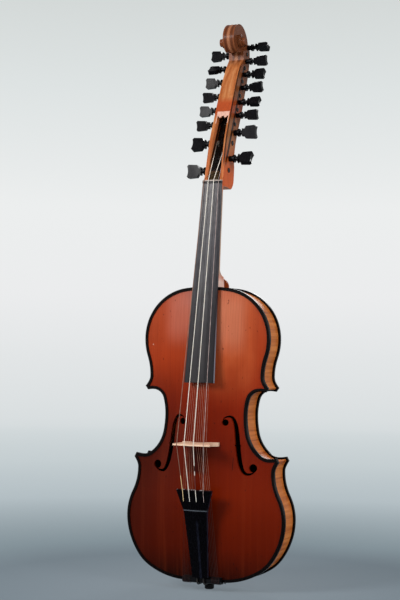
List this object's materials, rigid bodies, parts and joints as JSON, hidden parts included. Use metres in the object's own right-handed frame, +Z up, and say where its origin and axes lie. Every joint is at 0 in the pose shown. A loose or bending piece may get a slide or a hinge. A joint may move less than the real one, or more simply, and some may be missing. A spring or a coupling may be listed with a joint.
{
  "type": "viola d'amore",
  "caption": "Bowed string instrument with arched plates, black edging, long pegbox with scroll, side pegs, fingerboard, bridge, tailpiece and sympathetic strings.",
  "frame": {"origin": "centre of the flat outer face of the end button, the lowest point of the instrument", "axes": "+Z up along the instrument to the scroll, the front plate with the strings faces -Y, +X is the treble side, the viewer's right from the front; y = 0 is the middle of the ribs"},
  "size_m": [0.234, 0.1637, 0.7838],
  "materials": {
    "spruce_varnish": "orange-red varnish over fine straight spruce",
    "maple_varnish": "orange-brown varnish over flamed maple",
    "rib_maple": "orange-tan varnish over flamed maple",
    "black_edging": "black stained, polished",
    "plain_wood": "unvarnished",
    "head_maple": "varnished head, pale neck",
    "ebony": "polished black wood",
    "peg_ebony": "polished black wood",
    "bridge_maple": "unvarnished pale maple",
    "wound_string": "gut wound with thin wire",
    "gut": "pale gut, satin",
    "thin_wire": "thin wire",
    "pin_steel": "small plain pins",
    "tail_gut": "thick gut, satin"
  },
  "bodies": {
    "instrument": {"front_plate": "spruce_varnish", "back_plate": "maple_varnish", "front_edging": "black_edging", "back_edging": "black_edging", "upper_rib_left": "rib_maple", "upper_rib_right": "rib_maple", "middle_rib_left": "rib_maple", "middle_rib_right": "rib_maple", "lower_rib_left": "rib_maple", "lower_rib_right": "rib_maple", "upper_block": "plain_wood", "lower_block": "plain_wood", "corner_blocks": "plain_wood", "linings": "plain_wood", "bass_bar": "plain_wood", "sound_post": "plain_wood", "neck_and_head": "head_maple", "fingerboard": "ebony", "nut": "ebony", "low_nut": "ebony", "tailpiece": "ebony", "saddle": "ebony", "end_button": "ebony", "string_1": "wound_string", "string_2": "gut", "string_3": "gut", "string_4": "gut", "hitch_pins": "pin_steel", "sympathetic_strings": "thin_wire", "tail_gut": "tail_gut", "bridge": "bridge_maple"},
    "peg_left_1": {"peg_left_1": "peg_ebony"},
    "peg_right_1": {"peg_right_1": "peg_ebony"},
    "peg_left_2": {"peg_left_2": "peg_ebony"},
    "peg_right_2": {"peg_right_2": "peg_ebony"},
    "peg_left_3": {"peg_left_3": "peg_ebony"},
    "peg_right_3": {"peg_right_3": "peg_ebony"},
    "peg_left_4": {"peg_left_4": "peg_ebony"},
    "peg_right_4": {"peg_right_4": "peg_ebony"},
    "peg_left_5": {"peg_left_5": "peg_ebony"},
    "peg_right_5": {"peg_right_5": "peg_ebony"},
    "peg_left_6": {"peg_left_6": "peg_ebony"},
    "peg_right_6": {"peg_right_6": "peg_ebony"},
    "peg_left_7": {"peg_left_7": "peg_ebony"},
    "peg_right_7": {"peg_right_7": "peg_ebony"},
    "peg_left_8": {"peg_left_8": "peg_ebony"},
    "peg_right_8": {"peg_right_8": "peg_ebony"}
  },
  "joints": [
    {"name": "peg_left_1_turn", "type": "hinge", "parent": "instrument", "child": "peg_left_1", "pos_m": [0, 0.016, 0.573], "axis": [1, 0, 0], "continuous": true},
    {"name": "peg_right_1_turn", "type": "hinge", "parent": "instrument", "child": "peg_right_1", "pos_m": [0, 0.0185, 0.589], "axis": [1, 0, 0], "continuous": true},
    {"name": "peg_left_2_turn", "type": "hinge", "parent": "instrument", "child": "peg_left_2", "pos_m": [0, 0.029, 0.612], "axis": [1, 0, 0], "continuous": true},
    {"name": "peg_right_2_turn", "type": "hinge", "parent": "instrument", "child": "peg_right_2", "pos_m": [0, 0.0353, 0.627], "axis": [1, 0, 0], "continuous": true},
    {"name": "peg_left_3_turn", "type": "hinge", "parent": "instrument", "child": "peg_left_3", "pos_m": [0, 0.03848, 0.6395], "axis": [1, 0, 0], "continuous": true},
    {"name": "peg_right_3_turn", "type": "hinge", "parent": "instrument", "child": "peg_right_3", "pos_m": [0, 0.04418, 0.6525], "axis": [1, 0, 0], "continuous": true},
    {"name": "peg_left_4_turn", "type": "hinge", "parent": "instrument", "child": "peg_left_4", "pos_m": [0, 0.04781, 0.661], "axis": [1, 0, 0], "continuous": true},
    {"name": "peg_right_4_turn", "type": "hinge", "parent": "instrument", "child": "peg_right_4", "pos_m": [0, 0.05266, 0.672], "axis": [1, 0, 0], "continuous": true},
    {"name": "peg_left_5_turn", "type": "hinge", "parent": "instrument", "child": "peg_left_5", "pos_m": [0, 0.057, 0.682], "axis": [1, 0, 0], "continuous": true},
    {"name": "peg_right_5_turn", "type": "hinge", "parent": "instrument", "child": "peg_right_5", "pos_m": [0, 0.06221, 0.694], "axis": [1, 0, 0], "continuous": true},
    {"name": "peg_left_6_turn", "type": "hinge", "parent": "instrument", "child": "peg_left_6", "pos_m": [0, 0.06624, 0.7035], "axis": [1, 0, 0], "continuous": true},
    {"name": "peg_right_6_turn", "type": "hinge", "parent": "instrument", "child": "peg_right_6", "pos_m": [0, 0.07068, 0.714], "axis": [1, 0, 0], "continuous": true},
    {"name": "peg_left_7_turn", "type": "hinge", "parent": "instrument", "child": "peg_left_7", "pos_m": [0, 0.07486, 0.724], "axis": [1, 0, 0], "continuous": true},
    {"name": "peg_right_7_turn", "type": "hinge", "parent": "instrument", "child": "peg_right_7", "pos_m": [0, 0.07891, 0.734], "axis": [1, 0, 0], "continuous": true},
    {"name": "peg_left_8_turn", "type": "hinge", "parent": "instrument", "child": "peg_left_8", "pos_m": [0, 0.08335, 0.745], "axis": [1, 0, 0], "continuous": true},
    {"name": "peg_right_8_turn", "type": "hinge", "parent": "instrument", "child": "peg_right_8", "pos_m": [0, 0.08511, 0.7545], "axis": [1, 0, 0], "continuous": true}
  ]
}
